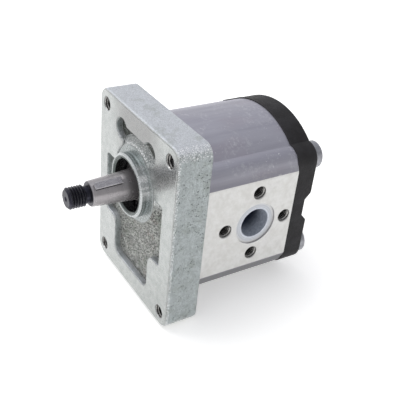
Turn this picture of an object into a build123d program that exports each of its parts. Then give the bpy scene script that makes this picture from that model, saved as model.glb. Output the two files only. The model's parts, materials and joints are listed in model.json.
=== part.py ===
from build123d import *
import os
from math import acos, atan2, cos, hypot, pi, radians, sin, tan

# External gear pump. The drive shaft turns about the Y axis and points to -Y.
# The origin is on the shaft axis, in the front face of the mounting flange. +Z is up.
# All sizes are in millimetres.

# Gears
CENTRES = 31.2                  # distance between the two gear axes
TEETH = 12
MODULE = 2.5
PRESSURE_ANGLE = radians(20)
TIP_R = 18.0
ROOT_R = 12.4
BACKLASH = 0.3                  # play between flanks, measured along the pitch circle
CHAMBER_R = 18.25               # gear chamber in the body, one bore for each gear
AXES_Z = (0.0, -CENTRES)
MIDDLE_Z = -CENTRES / 2         # level of the ports, and middle of the casing

# Stack along the shaft
FLANGE_T = 20.0
BODY_REAR = 80.3
COVER_REAR = 94.6
PORT_Y = 55.0
GEAR_WIDTH = 19.9
CHAMBER_FRONT = PORT_Y - 10.0
CHAMBER_REAR = PORT_Y + 10.0
BLOCK_PLAY = 0.1                # gap between a side block and the flange or cover

# Mounting flange
FLANGE_W = 88.6
FLANGE_H = 113.0
FLANGE_CORNER_R = 7.5
FLANGE_HOLE_R = 4.0             # tapped M8, drawn at the nominal size
FLANGE_HOLES_X = 71.5
FLANGE_HOLES_Z = 96.2
SPIGOT_R = 18.25
SPIGOT_LENGTH = 5.0
SEAT_R = 21.4                   # turned ring around the spigot
BOSS_R = 26.8                   # foot of the cast boss, on the pocket floor
POCKET_DEPTH = 3.6
FLANGE_FRONT_ROUND = 1.5
FLANGE_REAR_ROUND = 0.8
FLANGE_HOLE_BREAK = 0.3         # sharp edge taken off the mouth of each mounting hole
TAPPED_DEPTH = 14.0             # threaded length for the assembly bolts
EDGE_BREAK = 0.8                # chamfer on the spigot and round of the pocket's mouth

# Sunk pocket in the flange face: two lobes above the boss, a wide waist round it and a foot below
POCKET_X = -1.0                 # the cast pocket sits a little off the shaft axis
POCKET_RING_R = 22.6            # the face runs up to the seat ring between the lobes and the waist
POCKET_LOBE_R = 6.2
POCKET_LOBE = (16.0, 25.7)      # x and z of the lobes
POCKET_ROUND = 1.5
POCKET_BRIDGE = (24.0, 26.0, 9.2)           # middle z, width and height
POCKET_WAIST = (-15.9, 65.0, 37.4)
POCKET_FOOT = (-45.2, 40.4, 28.6)
POCKET_FOOT_ROUND = 5.0
POCKET_SHOULDER_ROUND = 6.0     # where the face juts in between the waist and the foot

# Casing section, the same for the body and the cover
CROWN_R = 48.5
CROWN_Z = -14.2
BULGE_R = 9.2
BOLT_X = 31.0
BOLT_PITCH_Z = 59.2
PAD_X = 41.8                    # machined port faces
PAD_HALF_HEIGHT = 27.6
PAD_CHAMFER = 0.5

# Rear cover
COVER_OVERHANG = 0.5            # how far the cover stands out past the body all round
COVER_ROUND = 1.6
CHANNEL_Z = MIDDLE_Z + 1.0      # cross channel in the back, with sloping sides
CHANNEL_DEPTH = 4.6
CHANNEL_FLOOR = 5.3             # half width at its floor
CHANNEL_MOUTH = 10.4            # half width at its mouth

# Ports: bore radius, seat radius, pitch circle and screw radius
PORT_SEAT_DEPTH = 0.9
PORT_SCREW_DEPTH = 15.0
PORT_SCREW_BREAK = 0.3          # countersink at the mouth of the port screw holes
PORT_BORE_END = 20.0            # the finished bore stops here, measured from the middle of the pump
PASSAGE_END = 8.0               # a slightly narrower passage goes on to the gear chamber
PASSAGE_STEP = 0.6
INLET = {"side": 1, "bore": 9.0, "seat": 13.2, "pcd": 40.0, "screw": 4.0}
OUTLET = {"side": -1, "bore": 7.5, "seat": 11.0, "pcd": 35.0, "screw": 3.0}

# Shaft
JOURNAL_R = 9.0
THREAD_R = 6.0
THREAD_ROOT_R = 5.08
THREAD_PITCH = 1.5
THREAD_FRONT = -39.5
THREAD_REAR = -30.4
NECK_R = 4.8
TAPER_FRONT = -26.9
TAPER_FRONT_R = 7.1
TAPER_REAR = -1.0
TAPER_SLOPE = 1 / 16            # radius gained per millimetre, a 1:8 taper
SHAFT_REAR = 78.6
DRIVEN_FRONT = 21.6

# Woodruff key, 4 x 6.5 with a 16 disc
KEY_WIDTH = 4.0
KEY_HEIGHT = 6.5
KEY_DISC_R = 8.0
KEY_Y = -17.5
KEY_PROUD = 1.4
KEY_ANGLE = 57.0                # from +X towards +Z

# Bearings and seals
BUSH_BORE_R = 9.04
BUSH_OUTER_R = 10.0
BLOCK_R = 18.2
GROOVE_DEPTH = 2.0
BUSH_INSET = (0.5, 0.3)         # bush ends sit this far inside the block, outer and inner face
RELIEF_SLOT = (5.0, 7.0)        # lets trapped oil out of the gear mesh
RELIEF_X = 6.0
RELIEF_DEPTH = 2.2
SEAL_INNER_R = 14.3
SEAL_OUTER_R = 15.9
BACKUP_INNER_R = 13.5
BACKUP_BAR = (1.6, 4.3)
SEAL_END_X = 3.0                # the 3-shaped seal stops here, just past the middle of the block
BODY_GROOVE_R = (20.4, 22.9)
BODY_GROOVE_DEPTH = 1.9
LIP_SEAL_R = 15.0
LIP_SEAL_FRONT = 2.2
LIP_SEAL_REAR = 9.2
LIP_R = 9.15                    # both lips stand just clear of the journal
CASE_INNER_R = 12.2
CASE_SHEET = 0.9
CASE_FRONT = LIP_SEAL_FRONT + 1.4
GARTER_R = 10.9
GARTER_WIRE_R = 0.45
CIRCLIP_FRONT = 0.9
CIRCLIP_T = 1.2
CIRCLIP_GROOVE_R = 15.7
CIRCLIP_INNER_R = 13.6
CIRCLIP_EAR_R = 1.9
CIRCLIP_EAR_HOLE_R = 0.9
CIRCLIP_EAR_PITCH_R = 13.0
CIRCLIP_EAR_ANGLE = 11.0        # either side of straight down

# Screws and pins
BOLT_R = 5.0
BOLT_HEAD_R = 8.0
BOLT_HEAD_H = 10.0
BOLT_LENGTH = 80.0
BOLT_HEAD_REAR = 99.7
BOLT_SEAT = BOLT_HEAD_REAR - BOLT_HEAD_H
BOLT_HOLE_R = 5.15
TAPPED_R = 5.05
BOLT_RECESS_R = 8.5
HEX_FLAT = 4.05                 # half the width across the flats
HEX_DEPTH = 5.0
PIN_R = 2.5
PIN_LENGTH = 12.0
PIN_X = 9.0
PIN_RISE = 43.1                 # height of a pin above the middle of the casing

FAR = 200.0                     # longer than the pump, for cuts that go right through


def section(y):
    """Plane across the shaft at y, with local x along X and local y along Z."""
    return Plane(origin=(0, y, 0), x_dir=(1, 0, 0), z_dir=(0, -1, 0))


def side_plane(side):
    """Port face plane on the +X or -X side, pointing outwards, local y along Z."""
    return Plane(origin=(side * PAD_X, PORT_Y, MIDDLE_Z), x_dir=(0, side, 0), z_dir=(side, 0, 0))


def finish(builder, name):
    """Label a finished piece and write it to parts/."""
    builder.part.label = name
    export_step(builder.part, f"parts/{name}.step")


def casing_outline(growth=0.0):
    """Section of the body and the cover: crowned top and bottom, a bulge round each bolt."""
    with BuildSketch() as outline:
        for crown_z in (CROWN_Z, 2 * MIDDLE_Z - CROWN_Z):
            with Locations((0, crown_z)):
                Circle(CROWN_R + growth)
        with Locations((0, MIDDLE_Z)):
            Rectangle(2 * BOLT_X, FAR, mode=Mode.INTERSECT)
        with Locations((0, MIDDLE_Z)):
            Rectangle(2 * (BOLT_X + BULGE_R + growth), BOLT_PITCH_Z)
            with GridLocations(2 * BOLT_X, BOLT_PITCH_Z, 2, 2):
                Circle(BULGE_R + growth)
    return outline.sketch


def shoulder_slopes():
    """Flats that run from each bulge, tangent to it, out to the edge of the port faces."""
    reach = PAD_X - BOLT_X
    rise = BOLT_PITCH_Z / 2 - PAD_HALF_HEIGHT
    angle = acos(BULGE_R / hypot(reach, rise)) - atan2(rise, reach)
    top_x = BOLT_X + BULGE_R * cos(angle)
    top_z = BOLT_PITCH_Z / 2 + BULGE_R * sin(angle)
    with BuildSketch() as slopes:
        with BuildLine():
            Polyline(
                (top_x, top_z), (PAD_X, PAD_HALF_HEIGHT), (BOLT_X, PAD_HALF_HEIGHT), (BOLT_X, top_z),
                close=True,
            )
        make_face()
        mirror(about=Plane.YZ)
        mirror(about=Plane.XZ)
    return slopes.sketch


def pocket_outline():
    """Outline of the sunk pocket in the flange face."""
    with BuildSketch() as lower:
        waist_z, waist_width, waist_height = POCKET_WAIST
        with Locations((POCKET_X, waist_z)):
            Rectangle(waist_width, waist_height)
        foot_z, foot_width, foot_height = POCKET_FOOT
        with Locations((POCKET_X, foot_z)):
            RectangleRounded(foot_width, foot_height, POCKET_FOOT_ROUND)
        for step in (POCKET_SHOULDER_ROUND, -POCKET_SHOULDER_ROUND - POCKET_ROUND, POCKET_ROUND):
            offset(amount=step)
    with BuildSketch(section(0)) as outline:
        add(lower.sketch)
        Circle(POCKET_RING_R)
        lobe_x, lobe_z = POCKET_LOBE
        with Locations((POCKET_X + lobe_x, lobe_z), (POCKET_X - lobe_x, lobe_z)):
            Circle(POCKET_LOBE_R)
        bridge_z, bridge_width, bridge_height = POCKET_BRIDGE
        with Locations((POCKET_X, bridge_z)):
            Rectangle(bridge_width, bridge_height)
        for step in (-POCKET_ROUND, 2 * POCKET_ROUND, -POCKET_ROUND):
            offset(amount=step)
    return outline.sketch


def figure_eight(radius):
    """Two equal circles, one on each gear axis, joined into one outline."""
    with BuildSketch() as outline:
        for z in AXES_Z:
            with Locations((0, z)):
                Circle(radius)
    return outline.sketch


def figure_eight_ring(inner_r, outer_r):
    """Band between two figure-8 outlines."""
    with BuildSketch() as band:
        add(figure_eight(outer_r))
        add(figure_eight(inner_r), mode=Mode.SUBTRACT)
    return band.sketch


def three_band(inner_r, outer_r):
    """Half of a figure-8 band, the outlet side, with its middle leg: a 3 seen from the end."""
    with BuildSketch() as band:
        add(figure_eight(outer_r))
        add(figure_eight(inner_r), mode=Mode.SUBTRACT)
        with Locations((FAR / 2 + SEAL_END_X, MIDDLE_Z)):
            Rectangle(FAR, FAR, mode=Mode.SUBTRACT)
    return band.sketch


def end_cap_groove(y, depth):
    """Cut the body seal's figure-8 groove from y, going +Y for a positive depth."""
    with BuildSketch(section(y)) as groove:
        add(figure_eight_ring(*BODY_GROOVE_R))
    extrude(groove.sketch, amount=-depth, mode=Mode.SUBTRACT)


def pin_places(y):
    """Where the two dowel pins of a joint face sit, on opposite corners of the casing."""
    plane = section(y)
    upper = plane.origin + Vector(PIN_X, 0, MIDDLE_Z + PIN_RISE)
    lower = plane.origin + Vector(-PIN_X, 0, MIDDLE_Z - PIN_RISE)
    return [Plane(origin=place, x_dir=plane.x_dir, z_dir=plane.z_dir) for place in (upper, lower)]


def revolved(points, mode=Mode.ADD):
    """Turn a closed outline of (radius, y) points about the shaft axis."""
    with BuildSketch(Plane.XY) as profile:
        with BuildLine():
            Polyline(*points, close=True)
        make_face()
    revolve(profile.sketch, axis=Axis.Y, mode=mode)


def involute(radius):
    """Involute function of the tooth flank at a radius."""
    angle = acos(BASE_R / radius)
    return tan(angle) - angle


def tooth():
    """One gear tooth pointing along local +X, with involute flanks and radial feet."""
    half_angle = pi / (2 * TEETH) - BACKLASH / (4 * PITCH_R) + involute(PITCH_R)
    radii = [BASE_R + (TIP_R - BASE_R) * step / 6 for step in range(7)]
    upper = [(r * cos(half_angle - involute(r)), r * sin(half_angle - involute(r))) for r in radii]
    lower = [(x, -y) for x, y in upper]
    foot = 0.95 * ROOT_R / BASE_R
    with BuildSketch() as outline:
        with BuildLine():
            Spline(*upper)
            Spline(*lower)
            ThreePointArc(upper[-1], (TIP_R, 0), lower[-1])
            upper_foot = (upper[0][0] * foot, upper[0][1] * foot)
            lower_foot = (lower[0][0] * foot, lower[0][1] * foot)
            Polyline(upper[0], upper_foot, lower_foot, lower[0])
        make_face()
    return outline.sketch


def gear(axis_z, first_tooth):
    """Gear blank with its teeth, between the two side blocks; first_tooth is an angle in degrees."""
    with BuildSketch(section(PORT_Y - GEAR_WIDTH / 2)) as outline:
        with Locations((0, axis_z)):
            Circle(ROOT_R)
            with PolarLocations(0, TEETH, start_angle=first_tooth):
                add(tooth())
    extrude(outline.sketch, amount=-GEAR_WIDTH)


def key_plane():
    """Plane through the middle of the key: local x along the taper's side, local y outwards."""
    angle = radians(KEY_ANGLE)
    outwards = Vector(cos(angle), 0, sin(angle))
    along = (Vector(0, 1, 0) + outwards * TAPER_SLOPE).normalized()
    radius = TAPER_FRONT_R + (KEY_Y - TAPER_FRONT) * TAPER_SLOPE
    middle = outwards * radius + Vector(0, KEY_Y, 0)
    return Plane(origin=middle, x_dir=along, z_dir=(sin(angle), 0, -cos(angle)))


def key_disc(width, height):
    """Half-moon shape of the key, cut flat at a height above its lowest point."""
    with BuildSketch(key_plane()) as disc:
        with Locations((0, KEY_PROUD - KEY_HEIGHT + KEY_DISC_R)):
            Circle(KEY_DISC_R)
        with Locations((0, KEY_PROUD - KEY_HEIGHT + height / 2)):
            Rectangle(2 * KEY_DISC_R, height, mode=Mode.INTERSECT)
    return extrude(disc.sketch, amount=width / 2, both=True, mode=Mode.PRIVATE)


def thread_profile():
    """Outline of the threaded length, front to rear: a V groove for every pitch."""
    turns = int((THREAD_REAR - THREAD_FRONT - 1.6) / THREAD_PITCH)
    points = []
    for turn in range(turns):
        crest = THREAD_FRONT + 1.5 + turn * THREAD_PITCH
        root = crest + THREAD_PITCH / 2
        points += [(THREAD_R, crest), (THREAD_ROOT_R, root - 0.1), (THREAD_ROOT_R, root + 0.1)]
    return points + [(THREAD_R, THREAD_FRONT + 1.5 + turns * THREAD_PITCH)]


def socket_screw():
    """Socket-head cap screw along local Z, the top of its head at the origin and its tip below."""
    with BuildPart() as screw:
        with Locations((0, 0, -BOLT_HEAD_H / 2)):
            Cylinder(BOLT_HEAD_R, BOLT_HEAD_H)
        chamfer(screw.edges().filter_by(GeomType.CIRCLE).sort_by(Axis.Z)[-1], 0.7)
        with Locations((0, 0, -BOLT_HEAD_H - BOLT_LENGTH / 2)):
            Cylinder(BOLT_R, BOLT_LENGTH)
        chamfer(screw.edges().filter_by(GeomType.CIRCLE).sort_by(Axis.Z)[0], 1)
        with BuildSketch(Plane.XY) as socket:
            RegularPolygon(HEX_FLAT, 6, major_radius=False)
        extrude(socket.sketch, amount=-HEX_DEPTH, mode=Mode.SUBTRACT)
    return screw.part


BASE_R = MODULE * TEETH / 2 * cos(PRESSURE_ANGLE)
PITCH_R = CENTRES / 2
TAPER_REAR_R = TAPER_FRONT_R + (TAPER_REAR - TAPER_FRONT) * TAPER_SLOPE

os.makedirs("parts", exist_ok=True)

# ---------------------------------------------------------------- casing

with BuildPart() as pump_body:
    with BuildSketch(section(FLANGE_T)):
        add(casing_outline())
        with Locations((0, MIDDLE_Z)):
            Rectangle(2 * PAD_X, 2 * PAD_HALF_HEIGHT)
            add(shoulder_slopes())
    extrude(amount=FLANGE_T - BODY_REAR)
    long_edges = pump_body.edges().filter_by(Axis.Y)
    pad_edges = long_edges.filter_by(lambda edge: abs(edge.center().X) > PAD_X - 0.1)
    chamfer(pad_edges, PAD_CHAMFER)
    with BuildSketch(section(FLANGE_T)):
        add(figure_eight(CHAMBER_R))
    extrude(amount=FLANGE_T - BODY_REAR, mode=Mode.SUBTRACT)
    for port in (INLET, OUTLET):
        with Locations(side_plane(port["side"])):
            CounterBoreHole(port["bore"], port["seat"], PORT_SEAT_DEPTH, depth=PAD_X - PORT_BORE_END)
            Hole(port["bore"] - PASSAGE_STEP, depth=PAD_X - PASSAGE_END)
            with PolarLocations(port["pcd"] / 2, 4):
                CounterSinkHole(port["screw"], port["screw"] + PORT_SCREW_BREAK, depth=PORT_SCREW_DEPTH)
    with Locations(section(FLANGE_T)):
        with Locations((0, MIDDLE_Z)):
            with GridLocations(2 * BOLT_X, BOLT_PITCH_Z, 2, 2):
                Hole(BOLT_HOLE_R)
    for plane in pin_places(FLANGE_T) + pin_places(BODY_REAR):
        with Locations(plane):
            Cylinder(PIN_R, PIN_LENGTH, mode=Mode.SUBTRACT)
finish(pump_body, "pump_body")

with BuildPart() as front_flange:
    with BuildSketch(section(0)):
        with Locations((0, MIDDLE_Z)):
            RectangleRounded(FLANGE_W, FLANGE_H, FLANGE_CORNER_R)
    extrude(amount=-FLANGE_T)
    front_rim = front_flange.faces().sort_by(Axis.Y)[0].outer_wire().edges()
    fillet(front_rim, FLANGE_FRONT_ROUND)
    rear_rim = front_flange.faces().sort_by(Axis.Y)[-1].outer_wire().edges()
    fillet(rear_rim, FLANGE_REAR_ROUND)
    extrude(pocket_outline(), amount=-POCKET_DEPTH, mode=Mode.SUBTRACT)
    mouth = front_flange.faces().filter_by(Plane.XZ).sort_by(Axis.Y)[0].inner_wires().edges()
    fillet(mouth, EDGE_BREAK)
    revolved([
        (JOURNAL_R, POCKET_DEPTH + 1), (JOURNAL_R, -SPIGOT_LENGTH), (SPIGOT_R - EDGE_BREAK, -SPIGOT_LENGTH),
        (SPIGOT_R, EDGE_BREAK - SPIGOT_LENGTH), (SPIGOT_R, 0), (SEAT_R, 0), (SEAT_R + 0.6, 0.4),
        (BOSS_R, POCKET_DEPTH), (BOSS_R, POCKET_DEPTH + 1),
    ])
    revolved([
        (0, -SPIGOT_LENGTH), (LIP_SEAL_R + EDGE_BREAK, -SPIGOT_LENGTH),
        (LIP_SEAL_R, EDGE_BREAK - SPIGOT_LENGTH), (LIP_SEAL_R, CIRCLIP_FRONT),
        (CIRCLIP_GROOVE_R, CIRCLIP_FRONT), (CIRCLIP_GROOVE_R, CIRCLIP_FRONT + CIRCLIP_T),
        (LIP_SEAL_R, CIRCLIP_FRONT + CIRCLIP_T), (LIP_SEAL_R, LIP_SEAL_REAR),
        (JOURNAL_R + 1, LIP_SEAL_REAR), (JOURNAL_R + 1, FLANGE_T), (0, FLANGE_T),
    ], mode=Mode.SUBTRACT)
    with Locations(section(0)):
        with Locations((0, MIDDLE_Z)):
            with GridLocations(FLANGE_HOLES_X, FLANGE_HOLES_Z, 2, 2):
                CounterSinkHole(FLANGE_HOLE_R, FLANGE_HOLE_R + FLANGE_HOLE_BREAK)
    with BuildSketch(section(FLANGE_T)) as bolt_holes:
        with Locations((0, MIDDLE_Z)):
            with GridLocations(2 * BOLT_X, BOLT_PITCH_Z, 2, 2):
                Circle(TAPPED_R)
    extrude(bolt_holes.sketch, amount=TAPPED_DEPTH, mode=Mode.SUBTRACT)
    end_cap_groove(FLANGE_T, -BODY_GROOVE_DEPTH)
    for plane in pin_places(FLANGE_T):
        with Locations(plane):
            Cylinder(PIN_R, PIN_LENGTH, mode=Mode.SUBTRACT)
finish(front_flange, "front_flange")

with BuildPart() as rear_cover:
    with BuildSketch(section(BODY_REAR)):
        add(casing_outline(COVER_OVERHANG))
    extrude(amount=BODY_REAR - COVER_REAR)
    back_rim = rear_cover.faces().sort_by(Axis.Y)[-1].outer_wire().edges()
    fillet(back_rim, COVER_ROUND)
    floor_y = COVER_REAR - CHANNEL_DEPTH
    with BuildSketch(Plane.YZ) as channel:
        with BuildLine():
            Polyline(
                (COVER_REAR, CHANNEL_Z + CHANNEL_MOUTH), (floor_y, CHANNEL_Z + CHANNEL_FLOOR),
                (floor_y, CHANNEL_Z - CHANNEL_FLOOR), (COVER_REAR, CHANNEL_Z - CHANNEL_MOUTH),
                close=True,
            )
        make_face()
    extrude(channel.sketch, amount=FAR / 2, both=True, mode=Mode.SUBTRACT)
    with Locations(section(COVER_REAR)):
        with Locations((0, MIDDLE_Z)):
            with GridLocations(2 * BOLT_X, BOLT_PITCH_Z, 2, 2):
                Cylinder(BOLT_RECESS_R, 2 * (COVER_REAR - BOLT_SEAT), mode=Mode.SUBTRACT)
                Cylinder(BOLT_HOLE_R, FAR, mode=Mode.SUBTRACT)
    end_cap_groove(BODY_REAR, BODY_GROOVE_DEPTH)
    for plane in pin_places(BODY_REAR):
        with Locations(plane):
            Cylinder(PIN_R, PIN_LENGTH, mode=Mode.SUBTRACT)
finish(rear_cover, "rear_cover")

# ---------------------------------------------------------------- rotors

with BuildPart() as drive_gear_shaft:
    revolved([
        (0, THREAD_FRONT + 1.6), (1.6, THREAD_FRONT), (THREAD_R - 1.2, THREAD_FRONT),
        (THREAD_R, THREAD_FRONT + 1.2), *thread_profile(),
        (THREAD_R, THREAD_REAR), (NECK_R, THREAD_REAR + 0.9),
        (NECK_R, TAPER_FRONT), (TAPER_FRONT_R - 0.6, TAPER_FRONT), (TAPER_FRONT_R, TAPER_FRONT + 0.6),
        (TAPER_REAR_R, TAPER_REAR), (JOURNAL_R, TAPER_REAR + 0.4), (JOURNAL_R, SHAFT_REAR - 1),
        (JOURNAL_R - 1, SHAFT_REAR), (0, SHAFT_REAR),
    ])
    gear(0, -90)
    add(key_disc(KEY_WIDTH + 0.06, 2 * KEY_DISC_R), mode=Mode.SUBTRACT)
finish(drive_gear_shaft, "drive_gear_shaft")

with BuildPart() as driven_gear_shaft:
    with BuildSketch(section(DRIVEN_FRONT)) as journal:
        with Locations((0, AXES_Z[1])):
            Circle(JOURNAL_R)
    extrude(journal.sketch, amount=DRIVEN_FRONT - SHAFT_REAR)
    journal_rims = driven_gear_shaft.edges().filter_by(GeomType.CIRCLE)
    chamfer(journal_rims, 1)
    gear(AXES_Z[1], 90 + 180 / TEETH)
finish(driven_gear_shaft, "driven_gear_shaft")

with BuildPart() as woodruff_key:
    add(key_disc(KEY_WIDTH, KEY_HEIGHT))
    outwards = Axis(key_plane().origin, key_plane().y_dir)
    top_edges = woodruff_key.faces().sort_by(outwards)[-1].edges()
    chamfer(top_edges, 0.3)
finish(woodruff_key, "woodruff_key")

# ---------------------------------------------------------------- side blocks, bushes and their seals


def side_block(outer_y, inner_y, name):
    """Figure-8 block with two bush bores, a 3-shaped seal groove outside and relief slots inside."""
    into = 1 if inner_y > outer_y else -1
    with BuildPart() as block:
        with BuildSketch(section(outer_y)) as outline:
            add(figure_eight(BLOCK_R))
            for z in AXES_Z:
                with Locations((0, z)):
                    Circle(BUSH_OUTER_R, mode=Mode.SUBTRACT)
        extrude(outline.sketch, amount=outer_y - inner_y)
        with BuildSketch(section(outer_y)) as groove:
            add(three_band(BACKUP_INNER_R, SEAL_OUTER_R))
        extrude(groove.sketch, amount=-into * GROOVE_DEPTH, mode=Mode.SUBTRACT)
        with BuildSketch(section(inner_y)) as slots:
            with Locations((RELIEF_X, MIDDLE_Z), (-RELIEF_X, MIDDLE_Z)):
                Rectangle(*RELIEF_SLOT)
        extrude(slots.sketch, amount=into * RELIEF_DEPTH, mode=Mode.SUBTRACT)
    finish(block, name)


def bush(outer_y, inner_y, axis_z, name):
    """Plain journal bush between two levels of y."""
    with BuildPart() as sleeve:
        with BuildSketch(section(outer_y)) as ring:
            with Locations((0, axis_z)):
                Circle(BUSH_OUTER_R)
                Circle(BUSH_BORE_R, mode=Mode.SUBTRACT)
        extrude(ring.sketch, amount=outer_y - inner_y)
    finish(sleeve, name)


def backup_outline():
    """Thin strip along the inside of the 3-shaped seal, joined across the middle."""
    with BuildSketch() as strip:
        add(figure_eight_ring(BACKUP_INNER_R, SEAL_INNER_R))
        with Locations((FAR / 2 + SEAL_END_X, MIDDLE_Z)):
            Rectangle(FAR, FAR, mode=Mode.SUBTRACT)
        with Locations((SEAL_END_X - BACKUP_BAR[0] / 2, MIDDLE_Z)):
            Rectangle(*BACKUP_BAR)
    return strip.sketch


def block_seals(outer_y, block_y, end):
    """The rubber pressure seal and its backup strip, from the end cap down to the groove floor."""
    depth = (block_y - outer_y) + (GROOVE_DEPTH if block_y > outer_y else -GROOVE_DEPTH)
    with BuildPart() as backup_ring:
        with BuildSketch(section(outer_y)) as strip:
            add(backup_outline())
        extrude(strip.sketch, amount=-depth)
    finish(backup_ring, f"{end}_backup_ring")
    with BuildPart() as pressure_seal:
        with BuildSketch(section(outer_y)) as rubber:
            add(three_band(BACKUP_INNER_R, SEAL_OUTER_R))
            add(backup_outline(), mode=Mode.SUBTRACT)
        extrude(rubber.sketch, amount=-depth)
    finish(pressure_seal, f"{end}_pressure_seal")


FRONT_BLOCK_Y = FLANGE_T + BLOCK_PLAY
REAR_BLOCK_Y = BODY_REAR - BLOCK_PLAY
side_block(FRONT_BLOCK_Y, CHAMBER_FRONT, "front_bushing_block")
side_block(REAR_BLOCK_Y, CHAMBER_REAR, "rear_bushing_block")
for rotor, axis_z in zip(("drive", "driven"), AXES_Z):
    bush(FRONT_BLOCK_Y + BUSH_INSET[0], CHAMBER_FRONT - BUSH_INSET[1], axis_z, f"front_{rotor}_bush")
    bush(REAR_BLOCK_Y - BUSH_INSET[0], CHAMBER_REAR + BUSH_INSET[1], axis_z, f"rear_{rotor}_bush")
block_seals(FLANGE_T, FRONT_BLOCK_Y, "front")
block_seals(BODY_REAR, REAR_BLOCK_Y, "rear")

for end, y, depth in (("front", FLANGE_T, -BODY_GROOVE_DEPTH), ("rear", BODY_REAR, BODY_GROOVE_DEPTH)):
    with BuildPart() as body_seal:
        with BuildSketch(section(y)) as band:
            add(figure_eight_ring(BODY_GROOVE_R[0] + 0.1, BODY_GROOVE_R[1] - 0.1))
        extrude(band.sketch, amount=-depth)
        seal_rims = body_seal.faces().filter_by(Plane.XZ).edges()
        chamfer(seal_rims, 0.5)
    finish(body_seal, f"{end}_body_seal")

# ---------------------------------------------------------------- shaft seal and its retaining ring

with BuildPart() as shaft_seal_case:
    revolved([
        (CASE_INNER_R, CASE_FRONT), (LIP_SEAL_R, CASE_FRONT), (LIP_SEAL_R, LIP_SEAL_REAR),
        (LIP_SEAL_R - CASE_SHEET, LIP_SEAL_REAR), (LIP_SEAL_R - CASE_SHEET, CASE_FRONT + CASE_SHEET),
        (CASE_INNER_R, CASE_FRONT + CASE_SHEET),
    ])
finish(shaft_seal_case, "shaft_seal_case")

with BuildPart() as shaft_seal_lip:
    revolved([
        (LIP_SEAL_R, LIP_SEAL_FRONT), (LIP_R + 0.6, LIP_SEAL_FRONT), (LIP_R, 2.7), (LIP_R, 3.1), (10.3, 4.2),
        (LIP_R, 6.0), (LIP_R, 6.5), (10.1, 8.4), (GARTER_R, 8.4), (GARTER_R, 8.0), (10.4, 7.7), (10.4, 6.7),
        (GARTER_R, 6.4), (11.2, 4.7), (CASE_INNER_R, CASE_FRONT), (LIP_SEAL_R, CASE_FRONT),
    ])
finish(shaft_seal_lip, "shaft_seal_lip")

with BuildPart() as garter_spring:
    with BuildSketch(Plane.XY) as wire:
        with Locations((GARTER_R, 7.2)):
            Circle(GARTER_WIRE_R)
    revolve(wire.sketch, axis=Axis.Y)
finish(garter_spring, "garter_spring")

with BuildPart() as seal_circlip:
    with BuildSketch(section(CIRCLIP_FRONT)) as ring:
        Circle(CIRCLIP_GROOVE_R - 0.1)
        with Locations((0, 0.5)):
            Circle(CIRCLIP_INNER_R, mode=Mode.SUBTRACT)
        for angle in (-90 - CIRCLIP_EAR_ANGLE, -90 + CIRCLIP_EAR_ANGLE):
            with PolarLocations(CIRCLIP_EAR_PITCH_R, 1, start_angle=angle):
                Circle(CIRCLIP_EAR_R)
                Circle(CIRCLIP_EAR_HOLE_R, mode=Mode.SUBTRACT)
        with Locations((0, -14)):
            Rectangle(2.4, 6, mode=Mode.SUBTRACT)
    extrude(ring.sketch, amount=-CIRCLIP_T + 0.05)
finish(seal_circlip, "seal_circlip")

# ---------------------------------------------------------------- screws and pins

with BuildPart() as assembly_bolts:
    head_plane = Plane(origin=(0, BOLT_HEAD_REAR, MIDDLE_Z), x_dir=(1, 0, 0), z_dir=(0, 1, 0))
    with Locations(head_plane):
        with GridLocations(2 * BOLT_X, BOLT_PITCH_Z, 2, 2):
            add(socket_screw())
finish(assembly_bolts, "assembly_bolts")

with BuildPart() as dowel_pins:
    for plane in pin_places(FLANGE_T) + pin_places(BODY_REAR):
        with Locations(plane):
            Cylinder(PIN_R, PIN_LENGTH)
    pin_rims = dowel_pins.edges().filter_by(GeomType.CIRCLE)
    chamfer(pin_rims, 0.5)
finish(dowel_pins, "dowel_pins")
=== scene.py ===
import json
from math import atan2, cos, pi, radians, sin
from types import SimpleNamespace

import bpy
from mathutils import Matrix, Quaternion, Vector


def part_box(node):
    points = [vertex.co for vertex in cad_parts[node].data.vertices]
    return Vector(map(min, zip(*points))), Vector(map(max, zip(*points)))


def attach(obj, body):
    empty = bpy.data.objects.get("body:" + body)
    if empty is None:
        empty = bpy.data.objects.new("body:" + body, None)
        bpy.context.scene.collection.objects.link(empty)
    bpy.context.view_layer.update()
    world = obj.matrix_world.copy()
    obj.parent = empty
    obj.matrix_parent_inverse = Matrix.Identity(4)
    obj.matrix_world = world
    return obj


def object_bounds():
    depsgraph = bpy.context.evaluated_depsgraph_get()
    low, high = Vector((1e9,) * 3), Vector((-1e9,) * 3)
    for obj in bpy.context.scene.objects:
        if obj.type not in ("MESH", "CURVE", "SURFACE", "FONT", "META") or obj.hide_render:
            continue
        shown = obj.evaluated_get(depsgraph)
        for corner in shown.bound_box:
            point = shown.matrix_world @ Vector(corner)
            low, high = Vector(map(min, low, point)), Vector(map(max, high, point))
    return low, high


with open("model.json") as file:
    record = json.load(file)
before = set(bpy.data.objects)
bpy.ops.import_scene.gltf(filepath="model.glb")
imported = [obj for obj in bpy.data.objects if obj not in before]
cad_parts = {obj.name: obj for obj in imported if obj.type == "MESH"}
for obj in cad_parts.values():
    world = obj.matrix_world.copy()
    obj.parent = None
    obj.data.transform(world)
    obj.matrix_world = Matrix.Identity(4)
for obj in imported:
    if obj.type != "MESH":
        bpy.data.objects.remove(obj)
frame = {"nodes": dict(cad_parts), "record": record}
cad_low, cad_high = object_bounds()

MM = 0.001
CENTRE = (cad_low + cad_high) / 2
RECORD = frame["record"]
MOUNTS = {mount["name"]: mount for mount in RECORD["mounts"]}


def mount_mm(name, key):
    """One stated size of a mount, in millimetres."""
    return MOUNTS[name]["dims"][key]


# ---------------------------------------------------------------- node helpers


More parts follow.
